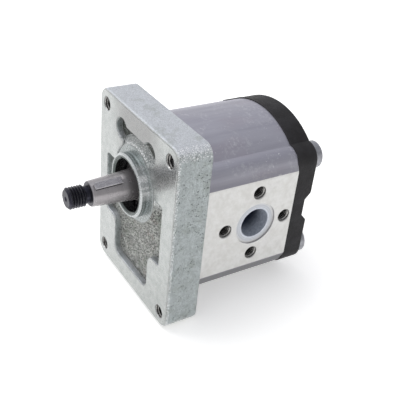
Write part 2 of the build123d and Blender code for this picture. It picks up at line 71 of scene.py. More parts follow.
class Surface:
    """A material built from nodes. Places and sizes in it are in millimetres of the pump's own frame."""

    def __init__(self, name, metallic=0.0, roughness=0.5):
        self.material = bpy.data.materials.new(name)
        self.material.use_nodes = True
        self.tree = self.material.node_tree
        self.shader = self.tree.nodes["Principled BSDF"]
        self.shader.inputs["Metallic"].default_value = metallic
        self.shader.inputs["Roughness"].default_value = roughness
        place = self.node("ShaderNodeTexCoord")
        scale = self.node("ShaderNodeVectorMath", operation="SCALE")
        scale.inputs["Scale"].default_value = 1 / MM
        self.join(place.outputs["Object"], scale.inputs[0])
        self.place = scale.outputs[0]
        self.facing = place.outputs["Normal"]

    def node(self, kind, **settings):
        made = self.tree.nodes.new(kind)
        for name, value in settings.items():
            setattr(made, name, value)
        return made

    def join(self, source, socket):
        """Connect a socket, or set it where the source is a plain number or colour."""
        if isinstance(source, bpy.types.NodeSocket):
            self.tree.links.new(source, socket)
        else:
            socket.default_value = source

    def set(self, socket, source):
        """Give the shader one of its inputs."""
        self.join(source, self.shader.inputs[socket])

    # Places and directions

    def axis(self, letter, source=None):
        """X, Y or Z of the place, or of another vector."""
        made = self.node("ShaderNodeSeparateXYZ")
        self.join(source or self.place, made.inputs[0])
        return made.outputs[letter]

    def radius(self, centre, axis):
        """Distance from a line along X or Y that passes through centre."""
        shifted = self.node("ShaderNodeVectorMath", operation="SUBTRACT")
        self.join(self.place, shifted.inputs[0])
        shifted.inputs[1].default_value = centre
        flat = self.node("ShaderNodeVectorMath", operation="MULTIPLY")
        self.join(shifted.outputs[0], flat.inputs[0])
        flat.inputs[1].default_value = [0.0 if letter == axis else 1.0 for letter in "XYZ"]
        length = self.node("ShaderNodeVectorMath", operation="LENGTH")
        self.join(flat.outputs[0], length.inputs[0])
        return length.outputs["Value"]

    def along_direction(self, direction):
        """How far the surface faces a direction: 1 towards it, 0 across it and -1 away from it."""
        made = self.node("ShaderNodeVectorMath", operation="DOT_PRODUCT")
        self.join(self.facing, made.inputs[0])
        made.inputs[1].default_value = direction
        return made.outputs["Value"]

    def stretched(self, x=1.0, y=1.0, z=1.0, shift=0.0):
        """The place, scaled along each axis: a small factor draws a pattern out along that axis."""
        mapping = self.node("ShaderNodeMapping")
        mapping.inputs["Scale"].default_value = (x, y, z)
        mapping.inputs["Location"].default_value = (shift, shift, shift)
        self.join(self.place, mapping.inputs["Vector"])
        return mapping.outputs[0]

    # Patterns

    def noise(self, per_mm, detail, roughness, distortion=0.0, place=None, shift=0.0):
        """Noise from 0 to 1. A shift takes another stretch of the same pattern."""
        if shift:
            place = self.stretched(shift=shift)
        made = self.node("ShaderNodeTexNoise")
        self.join(place or self.place, made.inputs["Vector"])
        made.inputs["Scale"].default_value = per_mm
        made.inputs["Detail"].default_value = detail
        made.inputs["Roughness"].default_value = roughness
        made.inputs["Distortion"].default_value = distortion
        return made.outputs["Fac"]

    def rings(self, value, per_mm, detail=3.0):
        """Noise that changes with one value only, such as the rings a lathe leaves."""
        made = self.node("ShaderNodeTexNoise", noise_dimensions="1D")
        self.join(value, made.inputs["W"])
        made.inputs["Scale"].default_value = per_mm
        made.inputs["Detail"].default_value = detail
        made.inputs["Roughness"].default_value = 0.6
        return made.outputs["Fac"]

    def edges(self, width):
        """1 on outer edges about width wide, 0 on flat ground."""
        bevel = self.node("ShaderNodeBevel", samples=4)
        bevel.inputs["Radius"].default_value = width * MM
        ground = self.node("ShaderNodeNewGeometry")
        across = self.node("ShaderNodeVectorMath", operation="DOT_PRODUCT")
        self.join(bevel.outputs[0], across.inputs[0])
        self.join(ground.outputs["Normal"], across.inputs[1])
        return self.span(across.outputs["Value"], 0.97, 0.8)

    def hollows(self, reach):
        """1 in corners and holes, 0 on open ground."""
        made = self.node("ShaderNodeAmbientOcclusion", samples=6)
        made.inputs["Distance"].default_value = reach * MM
        return self.rest(made.outputs["AO"])

    # Sums with numbers and shares

    def math(self, operation, first, second=0.0, clamp=False):
        made = self.node("ShaderNodeMath", operation=operation, use_clamp=clamp)
        self.join(first, made.inputs[0])
        self.join(second, made.inputs[1])
        return made.outputs[0]

    def plus(self, first, second):
        return self.math("ADD", first, second)

    def minus(self, first, second):
        return self.math("SUBTRACT", first, second)

    def times(self, first, second):
        """A product, or where two shares overlap."""
        return self.math("MULTIPLY", first, second)

    def either(self, first, second):
        """The larger of two shares."""
        return self.math("MAXIMUM", first, second)

    def rest(self, share):
        """What a share leaves of 1."""
        return self.math("SUBTRACT", 1.0, share, clamp=True)

    def unsigned(self, value):
        return self.math("ABSOLUTE", value)

    def span(self, value, low, high, at_low=0.0, at_high=1.0):
        """Map a value from low..high to at_low..at_high, clamped, with eased ends."""
        made = self.node("ShaderNodeMapRange", interpolation_type="SMOOTHSTEP")
        self.join(value, made.inputs["Value"])
        made.inputs["From Min"].default_value = low
        made.inputs["From Max"].default_value = high
        made.inputs["To Min"].default_value = at_low
        made.inputs["To Max"].default_value = at_high
        return made.outputs["Result"]

    def above(self, value, edge, blend):
        """1 where a value is above an edge and 0 below it, eased within blend on either side."""
        return self.span(value, edge - blend, edge + blend)

    def below(self, value, edge, blend):
        """1 where a value is below an edge and 0 above it, eased within blend on either side."""
        return self.span(value, edge + blend, edge - blend)

    def choose(self, share, first, second):
        """The plain number between two others, by share."""
        made = self.node("ShaderNodeMix")
        self.join(share, made.inputs[0])
        self.join(first, made.inputs[2])
        self.join(second, made.inputs[3])
        return made.outputs[0]

    def mix(self, share, first, second, blend="MIX"):
        """The colour between two others, by share."""
        made = self.node("ShaderNodeMix", data_type="RGBA", blend_type=blend)
        self.join(share, made.inputs[0])
        self.join(first, made.inputs[6])
        self.join(second, made.inputs[7])
        return made.outputs[2]

    def bump(self, height, distance, under=None):
        """Raise the surface by height times distance, in millimetres, on top of another bump."""
        made = self.node("ShaderNodeBump")
        made.inputs["Distance"].default_value = distance * MM
        self.join(height, made.inputs["Height"])
        if under is not None:
            self.join(under, made.inputs["Normal"])
        return made.outputs["Normal"]


def grey(level, tint=(0.0, 0.0, 0.0)):
    """A near-grey colour with a small tint added."""
    return (level + tint[0], level + tint[1], level + tint[2], 1.0)


# ---------------------------------------------------------------- front flange
# Radii are from the shaft's axis. Y is 0 on the ground face, negative on the spigot and positive behind.

SPIGOT_R = mount_mm("pilot_spigot", "r_mm")
SEAT_EDGE_R = 21.95             # the turned ring round the spigot ends here
BOSS_EDGE_R = 27.1              # the cast boss runs out into the pocket's floor here
RIM_INNER_R = 16.85             # between the spigot's front rim and the dark lip of its bore
SEAL_BORE_EDGE_R = 15.7         # everything inside this is in the seal bore
SEAL_BORE_FRONT_Y = -4.0        # and behind this
LIP_REAR_Y = -3.8               # the lip is in front of this
FACE_REAR_Y = 0.2               # ground metal is in front of this
BOSS_FRONT_Y = 0.45             # the boss's slope is behind this
SEAT_REAR_Y = 0.55              # turned metal is in front of this
POCKET_FRONT_Y = 1.25           # the pocket's floor is behind this
SIDE_EDGE_REAR_Y = 1.6          # the rounded front edge of each side is in front of this
SIDE_EDGE_X = 42.9              # and further out than this
LOBE_FOOT_Z = 20.5              # the pocket's two lobes are above this height


def flange_zones(skin):
    """The shares of the flange's different surfaces, 1 on each of them and 0 off it."""
    zone = SimpleNamespace()
    zone.depth = skin.axis("Y")
    zone.height = skin.axis("Z")
    zone.from_shaft = skin.radius((0, 0, 0), "Y")
    zone.to_front = skin.times(skin.axis("Y", skin.facing), -1.0)
    zone.to_side = skin.span(skin.unsigned(skin.axis("X", skin.facing)), 0.5, 0.9)
    zone.to_top = skin.span(skin.axis("Z", skin.facing), 0.5, 0.9)

    ground = skin.times(skin.below(zone.depth, FACE_REAR_Y, 0.15), skin.span(zone.to_front, 0.7, 0.97))
    near_shaft = skin.below(zone.from_shaft, SEAT_EDGE_R, 0.15)
    zone.turned = skin.times(near_shaft, skin.below(zone.depth, SEAT_REAR_Y, 0.15))
    zone.machined = skin.either(ground, zone.turned)
    zone.cast = skin.rest(zone.machined)

    floor = skin.times(skin.above(zone.depth, POCKET_FRONT_Y, 0.35), skin.span(zone.to_front, 0.75, 0.95))
    boss = skin.below(zone.from_shaft, BOSS_EDGE_R, 0.5)
    boss = skin.times(boss, skin.above(zone.depth, BOSS_FRONT_Y, 0.15))
    boss = skin.times(boss, skin.span(zone.to_front, 0.98, 0.9))
    upper = skin.above(zone.height, 0.0, 6.0)
    zone.sunk = skin.either(floor, skin.times(boss, skin.rest(upper)))
    zone.upper_boss = skin.times(boss, upper)
    zone.rough = skin.either(zone.to_side, zone.sunk)

    near_side = skin.above(skin.unsigned(skin.axis("X")), SIDE_EDGE_X, 0.3)
    side_edges = skin.times(skin.below(zone.depth, SIDE_EDGE_REAR_Y, 0.3), near_side)
    diagonal = skin.unsigned(skin.times(skin.axis("X", skin.facing), skin.axis("Z", skin.facing)))
    zone.corners = skin.either(side_edges, skin.span(diagonal, 0.15, 0.35))
    return zone


def casting_texture(skin, zone):
    """Noise of three sizes, and the pits, which are most common in the pocket."""
    texture = SimpleNamespace()
    texture.cloud = skin.noise(0.13, 4, 0.6, distortion=0.4)
    texture.grain = skin.noise(1.0, 5, 0.72)
    texture.fine = skin.noise(2.6, 4, 0.7)
    pit_level = skin.choose(zone.sunk, skin.choose(zone.to_side, 0.69, 0.61), 0.53)
    pits = skin.span(skin.minus(skin.noise(1.0, 3, 0.6, shift=7.3), pit_level), -0.01, 0.05)
    in_patches = skin.span(texture.cloud, 0.42, 0.56, 0.15, 1.0)
    texture.pits = skin.times(pits, skin.choose(zone.sunk, in_patches, 1.0))
    return texture


def cast_colour(skin, zone, texture):
    """Zinc plated casting: mottle, tarnish, rust in the pocket and pits, with painted light and shade by
    facing, painted glints on the boss and the edges, painted shade in the lobes and hollows, and edge wear
    with a painted highlight.
    """
    # painted light and shade: the sides are coloured darker and the top lighter than the front, by which
    # way the surface faces
    base = skin.mix(zone.to_side, grey(0.55, (-0.01, 0.01, 0.0)), grey(0.44, (-0.03, 0.006, 0.006)))
    base = skin.mix(zone.to_top, base, grey(0.56, (-0.02, 0.0, 0.03)))
    base = skin.mix(zone.sunk, base, grey(0.43, (-0.002, 0.006, -0.018)))

    mottle = skin.span(skin.plus(texture.fine, skin.noise(1.3, 4, 0.75, shift=17.0)), 0.8, 1.2)
    blotch = skin.span(skin.noise(0.3, 5, 0.7, distortion=0.5, shift=41.0), 0.36, 0.64)
    even = skin.span(mottle, 0.0, 1.0, 0.8, 1.14)
    uneven = skin.choose(mottle, skin.choose(zone.sunk, 0.4, 0.1), skin.choose(zone.sunk, 0.8, 1.15))
    uneven = skin.plus(uneven, skin.choose(blotch, skin.choose(zone.sunk, 0.34, -0.05), 0.55))
    colour = skin.mix(1.0, base, skin.choose(zone.rough, even, uneven), blend="MULTIPLY")

    tarnish = skin.times(skin.span(texture.cloud, 0.5, 0.68), skin.choose(zone.sunk, 0.35, 0.85))
    colour = skin.mix(tarnish, colour, grey(0.25, (0.0, 0.025, -0.01)))
    rust = skin.span(skin.noise(0.22, 4, 0.65, shift=23.0), 0.54, 0.68, 0.0, 0.5)
    colour = skin.mix(skin.times(rust, zone.sunk), colour, (0.27, 0.21, 0.19, 1.0))

    # painted glints: bright sparkle spots on the darker upper boss, and on the edges and corners, most on
    # the inlet side
    painted_sparkle = skin.span(skin.noise(1.5, 3, 0.7, shift=61.0), 0.5, 0.58)
    boss = skin.mix(painted_sparkle, grey(0.33, (-0.012, 0.01, 0.006)), grey(0.95))
    colour = skin.mix(zone.upper_boss, colour, boss)
    painted_glints = skin.times(zone.corners, painted_sparkle)
    painted_glints = skin.times(painted_glints, skin.span(skin.axis("X"), 20.0, 40.0, 0.3, 0.8))
    colour = skin.mix(painted_glints, colour, grey(0.98))

    # painted shade: the floor of the pocket's two lobes is coloured near black, with lighter specks left in
    # it
    painted_lobe_shade = skin.times(zone.sunk, skin.span(zone.height, LOBE_FOOT_Z - 1.5, LOBE_FOOT_Z + 1.5, 0.0, 0.9))
    colour = skin.mix(painted_lobe_shade, colour, grey(0.06, (0.0, 0.006, -0.004)))
    lobe_specks = skin.times(painted_lobe_shade, skin.span(skin.noise(1.2, 3, 0.6, shift=90.0), 0.56, 0.62))
    colour = skin.mix(lobe_specks, colour, grey(0.5, (-0.01, 0.006, 0.0)))

    colour = skin.mix(skin.times(texture.pits, 0.9), colour, grey(0.04, (0.0, 0.006, 0.0)))
    # painted shade: darker in corners and hollows, from occlusion, patchy with noise
    painted_hollow_shade = skin.times(skin.hollows(3.0), skin.span(texture.fine, 0.25, 0.7, 0.15, 0.6))
    colour = skin.mix(painted_hollow_shade, colour, grey(0.1, (0.0, 0.008, -0.01)))
    # edge wear and a painted highlight: the cast edges are coloured lighter
    wear_and_highlight = skin.times(skin.edges(1.0), skin.span(texture.grain, 0.35, 0.6, 0.2, 0.8))
    return skin.mix(skin.times(wear_and_highlight, zone.cast), colour, grey(0.86, (-0.01, 0.0, 0.01)))


def ground_face_colour(skin):
    """Ground mounting face, with freckles, and a painted dark reflection above the spigot."""
    patch = skin.span(skin.noise(0.22, 5, 0.6), 0.3, 0.7)
    face = skin.mix(patch, grey(0.4, (-0.014, 0.006, -0.004)), grey(0.48, (-0.01, 0.004, -0.004)))
    freckle = skin.span(skin.noise(0.6, 5, 0.7, shift=3.0), 0.58, 0.72, 0.0, 0.35)
    face = skin.mix(freckle, face, grey(0.37, (-0.01, 0.01, -0.01)))
    # painted dark reflection: the face is coloured darker in a patch above the spigot
    dark_patch = skin.span(skin.radius((0, 0, 33.0), "Y"), 34.0, 12.0, 0.0, 0.7)
    return skin.mix(dark_patch, face, grey(0.22, (0.005, 0.0, 0.0)))


def spigot_colour(skin, zone, lathe):
    """Turned spigot: lathe rings, a painted highlight in streaks on the barrel, a dark lip and seat ring.
    """
    ring = skin.span(lathe, 0.35, 0.65)
    barrel = skin.mix(ring, grey(0.22, (-0.02, 0.01, 0.008)), grey(0.44, (-0.03, 0.01, 0.012)))
    # painted highlight: light streaks on the upper inlet side of the barrel
    painted_highlight = skin.times(skin.above(skin.axis("X"), 10.0, 4.0), skin.above(zone.height, 1.5, 3.5))
    streak = skin.span(skin.rings(zone.height, 0.4, detail=0.0), 0.4, 0.6, 0.45, 1.0)
    barrel = skin.mix(skin.times(painted_highlight, streak), barrel, grey(0.92))
    lip = skin.below(zone.from_shaft, RIM_INNER_R, 0.25)
    lip = skin.times(lip, skin.below(zone.depth, LIP_REAR_Y, 0.2))
    barrel = skin.mix(lip, barrel, grey(0.1, (-0.01, 0.006, 0.0)))

    rim = skin.mix(ring, grey(0.46, (-0.02, 0.0, 0.0)), grey(0.6, (-0.02, 0.0, 0.0)))
    seat = skin.times(skin.above(zone.from_shaft, SPIGOT_R + 0.2, 0.15), 0.75)
    rim = skin.mix(seat, rim, grey(0.25, (-0.02, 0.006, 0.0)))
    on_rim = skin.times(skin.span(zone.to_front, 0.4, 0.8), skin.above(zone.from_shaft, RIM_INNER_R, 0.25))
    return skin.mix(on_rim, barrel, rim)


def zinc_casting():
    """Sand casting with clear zinc plating, with a ground mounting face and a turned spigot."""
    skin = Surface("zinc_casting")
    zone = flange_zones(skin)
    texture = casting_texture(skin, zone)
    lathe = skin.rings(skin.plus(zone.from_shaft, zone.depth), 0.9, detail=1.0)

    machined = skin.mix(zone.turned, ground_face_colour(skin), spigot_colour(skin, zone, lathe))
    colour = skin.mix(zone.machined, cast_colour(skin, zone, texture), machined)
    # painted shade: the wall of the seal bore is coloured near black
    bore = skin.below(zone.from_shaft, SEAL_BORE_EDGE_R, 0.2)
    bore = skin.times(bore, skin.above(zone.depth, SEAL_BORE_FRONT_Y, 0.4))
    colour = skin.mix(bore, colour, grey(0.035, (0.0, 0.001, 0.002)))
    skin.set("Base Color", colour)
    skin.set("Metallic", skin.choose(zone.machined, 0.6, skin.choose(zone.turned, 0.92, 0.55)))

    smooth_cast = skin.span(texture.grain, 0.3, 0.7, 0.42, 0.3)
    rough_cast = skin.span(texture.grain, 0.3, 0.7, 0.56, 0.4)
    polished = skin.span(skin.noise(0.8, 3, 0.6), 0.3, 0.7, 0.22, 0.3)
    dullness = skin.choose(zone.machined, skin.choose(zone.rough, smooth_cast, rough_cast), polished)
    skin.set("Roughness", dullness)

    relief = skin.times(zone.cast, skin.choose(skin.either(zone.rough, zone.upper_boss), 0.4, 1.0))
    fine_relief = skin.choose(zone.turned, skin.choose(zone.cast, 0.05, 0.9), 0.0)
    normal = skin.bump(skin.times(lathe, zone.turned), 0.008)
    normal = skin.bump(skin.times(texture.cloud, relief), 0.8, under=normal)
    normal = skin.bump(skin.times(texture.grain, relief), 0.7, under=normal)
    normal = skin.bump(skin.times(texture.fine, fine_relief), 0.2, under=normal)
    normal = skin.bump(skin.times(texture.pits, skin.times(zone.cast, -1.0)), 0.4, under=normal)
    skin.set("Normal", normal)
    return skin.material


# ---------------------------------------------------------------- pump body

PORT_FACE_X = MOUNTS["inlet_face"]["pos_m"][0] / MM
PORT_Y, PORT_Z = (MOUNTS["inlet_bore"]["pos_m"][index] / MM for index in (1, 2))
PORT_BORE_R = mount_mm("inlet_bore", "r_mm")
MILL_CENTRE = (0, -60.0, -90.0)             # the cutter's marks are arcs about this point
MILL_FEED = 0.55                            # distance between two marks


def drawn_colour(skin, lines, from_middle):
    """Skin of the extrusion: lengthwise lines and bands, scuffs, scratches, and painted shade on the flanks
    by the port face and below it.
    """
    lilac = (0.0, -0.006, 0.045)
    bands = skin.noise(0.16, 3, 0.55, place=skin.stretched(y=0.1))
    colour = skin.mix(skin.span(bands, 0.3, 0.7), grey(0.34, lilac), grey(0.4, lilac))
    colour = skin.mix(skin.span(lines, 0.4, 0.7, 0.0, 0.22), colour, grey(0.46, (0.0, 0.0, 0.03)))
    warm = skin.noise(0.09, 2, 0.5, place=skin.stretched(y=0.3, shift=12.0))
    colour = skin.mix(skin.span(warm, 0.5, 0.7, 0.0, 0.45), colour, grey(0.35, (0.018, -0.012, 0.035)))

    cloud = skin.noise(0.06, 4, 0.6, distortion=0.6)
    scuffs = skin.times(skin.span(skin.noise(0.5, 5, 0.68), 0.48, 0.62), skin.span(cloud, 0.5, 0.58))
    colour = skin.mix(skin.times(scuffs, 0.35), colour, grey(0.6, (0.0, 0.0, 0.02)))
    slanting = skin.stretched(x=1.4, y=1.0, z=0.35, shift=5.0)
    scratches = skin.span(skin.noise(0.8, 2, 0.5, distortion=0.4, place=slanting), 0.67, 0.7)
    scratches = skin.times(scratches, skin.span(skin.noise(0.11, 2, 0.5, shift=77.0), 0.52, 0.6))
    colour = skin.mix(skin.times(scratches, 0.7), colour, grey(0.72, (0.0, 0.0, 0.01)))

    # painted shade: the flanks within about 30 mm of the port's height are coloured darker than the top
    painted_flank_shade = skin.span(from_middle, 34.0, 29.0, 0.0, 0.45)
    colour = skin.mix(painted_flank_shade, colour, grey(0.2, (0.0, -0.004, 0.02)))
    # painted shade: coloured darker below the port pad, towards the bottom
    painted_underside_shade = skin.span(skin.axis("Z"), PORT_Z - 27.7, PORT_Z - 30.0, 0.0, 0.7)
    return skin.mix(painted_underside_shade, colour, grey(0.17, (0.0, 0.004, -0.004)))


def milled_colour(skin, from_port, seat):
    """Milled port face, with the turned sealing seat round the port and a bright lip at its bore."""
    patch = skin.span(skin.noise(0.25, 4, 0.6), 0.3, 0.7)
    milled = skin.mix(patch, grey(0.58, (0.012, 0.006, -0.018)), grey(0.67, (0.006, 0.003, -0.012)))
    smudge = skin.span(skin.noise(0.12, 5, 0.65, distortion=0.8), 0.52, 0.72, 0.0, 0.22)
    milled = skin.mix(smudge, milled, grey(0.52, (0.01, 0.0, 0.0)))
    turned = skin.span(skin.rings(from_port, 0.9), 0.35, 0.65)
    turned = skin.mix(turned, grey(0.42, (-0.02, 0.0, 0.035)), grey(0.58, (-0.02, 0.0, 0.03)))
    soft_seat = skin.times(seat, skin.span(from_port, 13.1, 11.0, 0.1, 1.0))
    milled = skin.mix(soft_seat, milled, turned)
    lip = skin.times(
        skin.span(from_port, PORT_BORE_R, PORT_BORE_R + 0.2),
        skin.span(from_port, PORT_BORE_R + 1.0, PORT_BORE_R + 0.7),
    )
    return skin.mix(skin.times(lip, seat), milled, grey(0.85, (-0.01, 0.0, 0.01)))


def port_bore_colour(skin, out):
    """Streaky wall of a port's bore, with painted shade further in."""
    streak = skin.span(skin.noise(0.8, 4, 0.65), 0.35, 0.65)
    bore = skin.mix(streak, grey(0.46, (-0.04, 0.0, 0.07)), grey(0.62, (-0.04, 0.0, 0.07)))
    # painted shade: the wall is coloured darker further in from the port face
    painted_depth_shade = skin.span(out, PORT_FACE_X - 6.0, PORT_FACE_X - 15.0)
    return skin.mix(painted_depth_shade, bore, grey(0.07, (-0.015, 0.0, 0.05)))


def extruded_aluminium():
    """Drawn skin with fine lengthwise lines, and milled port faces and bores."""
    skin = Surface("extruded_aluminium", metallic=0.9, roughness=0.4)
    out = skin.unsigned(skin.axis("X"))
    to_side = skin.unsigned(skin.axis("X", skin.facing))
    from_middle = skin.unsigned(skin.minus(skin.axis("Z"), PORT_Z))
    from_port = skin.radius((0, PORT_Y, PORT_Z), "X")

    flat = skin.times(skin.span(out, PORT_FACE_X - 1.3, PORT_FACE_X - 0.95), skin.span(to_side, 0.93, 0.98))
    hole_rims = skin.span(out, PORT_FACE_X - 0.6, PORT_FACE_X - 0.3)
    hole_rims = skin.times(hole_rims, skin.span(from_middle, 25.0, 24.0))
    pad = skin.either(flat, hole_rims)
    seat = skin.times(pad, skin.span(out, PORT_FACE_X - 0.35, PORT_FACE_X - 0.55))
    near_port = skin.below(from_port, PORT_BORE_R + 0.8, 0.2)
    inside = skin.times(near_port, skin.span(out, PORT_FACE_X - 0.6, PORT_FACE_X - 1.0))

    lines = skin.noise(5.0, 4, 0.65, place=skin.stretched(y=0.01))
    colour = skin.mix(pad, drawn_colour(skin, lines, from_middle), milled_colour(skin, from_port, seat))
    colour = skin.mix(inside, colour, port_bore_colour(skin, out))
    # edge wear and a painted highlight: the edges are coloured lighter, less on the port faces
    wear_and_highlight = skin.times(skin.edges(0.5), skin.choose(pad, 0.15, 0.5))
    skin.set("Base Color", skin.mix(wear_and_highlight, colour, grey(0.9)))
    skin.set("Metallic", skin.choose(inside, skin.choose(pad, 0.9, 0.55), 0.25))

    drawn_rough = skin.span(lines, 0.3, 0.7, 0.52, 0.42)
    milled_rough = skin.span(skin.noise(0.6, 3, 0.6), 0.3, 0.7, 0.34, 0.46)
    skin.set("Roughness", skin.choose(pad, drawn_rough, milled_rough))

    arcs = skin.math("SINE", skin.times(skin.radius(MILL_CENTRE, "X"), 2 * pi / MILL_FEED))
    drawn = skin.rest(pad)
    normal = skin.bump(skin.times(arcs, pad), 0.004)
    normal = skin.bump(skin.times(lines, drawn), 0.025, under=normal)
    normal = skin.bump(skin.times(skin.noise(0.05, 2, 0.5), drawn), 0.6, under=normal)
    skin.set("Normal", normal)
    return skin.material


# ---------------------------------------------------------------- other materials

TAPER_FRONT_Y = -26.7           # the shaft's thread and neck, in front of this, are black
KEY_ANGLE = radians(57.0)       # where the key sits round the taper, from +X towards +Z


def black_casting():
    """Matt black coated casting."""
    skin = Surface("black_casting", metallic=0.0, roughness=0.6)
    skin.shader.inputs["Specular IOR Level"].default_value = 0.2
    grain = skin.noise(2.2, 4, 0.65)
    cloud = skin.noise(0.12, 3, 0.55)
    patch = skin.span(cloud, 0.3, 0.7)
    colour = skin.mix(patch, grey(0.014, (0.001, 0.0, 0.001)), grey(0.022, (0.001, 0.0, 0.002)))
    dust = skin.times(skin.span(grain, 0.55, 0.8), skin.span(cloud, 0.4, 0.7))
    colour = skin.mix(skin.times(dust, 0.12), colour, grey(0.12))
    # edge wear and a painted sheen: the edges are coloured lighter
    colour = skin.mix(skin.times(skin.edges(0.8), 0.3), colour, grey(0.1, (0.0, 0.0, 0.004)))
    skin.set("Base Color", colour)
    skin.set("Roughness", skin.span(grain, 0.3, 0.7, 0.66, 0.5))
    skin.set("Normal", skin.bump(cloud, 0.5, under=skin.bump(grain, 0.12)))
    return skin.material


def ground_steel():
    """Ground and hardened steel, with a blackened thread and neck in front of the taper."""
    skin = Surface("ground_steel")
    depth = skin.axis("Y")
    lathe = skin.rings(depth, 2.5)
    stain = skin.noise(0.3, 4, 0.6, distortion=0.5)
    ring = skin.span(lathe, 0.3, 0.7)
    colour = skin.mix(ring, grey(0.33, (0.014, -0.008, 0.002)), grey(0.38, (0.012, -0.004, 0.002)))
    colour = skin.mix(skin.span(stain, 0.5, 0.75, 0.0, 0.4), colour, grey(0.26, (0.016, 0.0, 0.008)))
    patch = skin.span(stain, 0.4, 0.7)
    oxide = skin.mix(patch, grey(0.024, (0.0, 0.0, 0.01)), grey(0.055, (0.0, 0.0, 0.014)))
    rubbed = skin.times(skin.edges(0.25), skin.span(stain, 0.3, 0.6, 0.1, 0.6))
    oxide = skin.mix(rubbed, oxide, grey(0.28))
    black = skin.below(depth, TAPER_FRONT_Y, 0.3)
    skin.set("Base Color", skin.mix(black, colour, oxide))
    skin.set("Metallic", skin.choose(black, 0.66, 0.9))
    skin.set("Roughness", skin.choose(black, skin.span(stain, 0.3, 0.7, 0.2, 0.28), 0.36))
    skin.set("Normal", skin.bump(lathe, 0.003))
    return skin.material


def key_steel():
    """Bright drawn steel of the key and the pins, coloured near black on the sides of the key as painted
    shade.
    """
    skin = Surface("key_steel", metallic=0.9)
    lines = skin.noise(3.0, 4, 0.6, place=skin.stretched(y=0.1))
    stain = skin.noise(0.6, 3, 0.6)
    streak = skin.span(lines, 0.35, 0.65)
    colour = skin.mix(streak, grey(0.34, (0.01, -0.008, 0.012)), grey(0.46, (0.01, 0.0, 0.012)))
    colour = skin.mix(skin.span(stain, 0.5, 0.75, 0.0, 0.3), colour, grey(0.26, (0.016, 0.0, 0.008)))
    # edge wear and a painted highlight: the edges are coloured lighter
    colour = skin.mix(skin.times(skin.edges(0.3), 0.4), colour, grey(0.8))
    # painted shade: the sides of the key, by which way they face, are coloured near black
    across_key = skin.along_direction((sin(KEY_ANGLE), 0.0, -cos(KEY_ANGLE)))
    side = skin.span(skin.unsigned(across_key), 0.8, 0.95)
    skin.set("Base Color", skin.mix(side, colour, grey(0.02, (0.0, 0.0, 0.006))))
    skin.set("Roughness", skin.span(lines, 0.3, 0.7, 0.2, 0.3))
    skin.set("Normal", skin.bump(lines, 0.01))
    return skin.material


def cut_thread():
    """Freshly cut thread in a tapped hole, with painted shade where it goes deep."""
    skin = Surface("cut_thread", metallic=0.9, roughness=0.28)
    chatter = skin.noise(2.0, 3, 0.6)
    patch = skin.span(chatter, 0.3, 0.7)
    colour = skin.mix(patch, grey(0.2, (0.004, 0.0, -0.01)), grey(0.6, (0.01, 0.0, -0.02)))
    # painted shade: near black where the hole goes deep, by occlusion
    painted_depth_shade = skin.span(skin.hollows(10.0), 0.3, 0.62, 0.0, 0.98)
    skin.set("Base Color", skin.mix(painted_depth_shade, colour, grey(0.012, (0.001, 0.0005, 0.0))))
    skin.set("Normal", skin.bump(chatter, 0.02))
    return skin.material


def zinc_steel():
    """Zinc plated socket screws, darker round the open end of the head, with painted shade in the hollows.
    """
    skin = Surface("zinc_steel", metallic=0.9, roughness=0.36)
    rim_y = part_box("assembly_bolts")[1].y / MM
    fine = skin.noise(3.0, 3, 0.6)
    patch = skin.span(skin.noise(0.5, 4, 0.6), 0.3, 0.7)
    colour = skin.mix(patch, grey(0.26, (-0.003, 0.0, 0.02)), grey(0.36, (-0.003, 0.0, 0.025)))
    colour = skin.mix(skin.span(fine, 0.5, 0.8, 0.0, 0.35), colour, grey(0.55, (0.0, 0.0, 0.02)))
    # painted shade: darker in the socket and other hollows, by occlusion
    colour = skin.mix(skin.times(skin.hollows(3.0), 0.7), colour, grey(0.08))
    rim = skin.span(skin.axis("Y"), rim_y - 1.0, rim_y - 0.5, 0.0, 0.6)
    skin.set("Base Color", skin.mix(rim, colour, grey(0.12, (0.0, 0.0, 0.01))))
    skin.set("Roughness", skin.span(fine, 0.3, 0.7, 0.44, 0.32))
    skin.set("Normal", skin.bump(fine, 0.05))
    return skin.material


def black_rubber():
    """Moulded nitrile rubber."""
    skin = Surface("black_rubber", metallic=0.0, roughness=0.55)
    fine = skin.noise(5.0, 3, 0.6)
    patch = skin.span(skin.noise(0.4, 3, 0.5), 0.3, 0.7)
    skin.set("Base Color", skin.mix(patch, grey(0.012), grey(0.03, (0.002, 0.0, 0.0))))
    skin.set("Roughness", skin.span(fine, 0.3, 0.7, 0.6, 0.42))
    skin.set("Normal", skin.bump(fine, 0.02))
    return skin.material


def white_plastic():
    """Machined polymer strip."""
    skin = Surface("white_plastic", metallic=0.0, roughness=0.45)
    fine = skin.noise(2.0, 3, 0.6)
    patch = skin.span(fine, 0.3, 0.7)
    colour = skin.mix(patch, grey(0.62, (0.02, 0.01, -0.03)), grey(0.72, (0.02, 0.01, -0.02)))
    skin.set("Base Color", colour)
    skin.set("Roughness", skin.span(fine, 0.3, 0.7, 0.5, 0.4))
    skin.set("Normal", skin.bump(fine, 0.02))
    return skin.material


def plain_metal(name, low, high, roughness, turned=True):
    """Metal of an inner piece in two shades, with rings round the shafts or an even grain."""
    skin = Surface(name, metallic=1.0, roughness=roughness)
    bands = skin.noise(1.0, 4, 0.6, place=skin.stretched(x=0.1, z=0.1) if turned else None)
    colour = skin.mix(skin.span(bands, 0.35, 0.65), low, high)
    dark_patch = skin.mix(1.0, low, grey(0.7), blend="MULTIPLY")
    stain = skin.span(skin.noise(0.3, 3, 0.6), 0.5, 0.75, 0.0, 0.5)
    skin.set("Base Color", skin.mix(stain, colour, dark_patch))
    skin.set("Roughness", skin.span(bands, 0.3, 0.7, roughness + 0.08, roughness - 0.05))
    skin.set("Normal", skin.bump(bands, 0.02))
    return skin.material


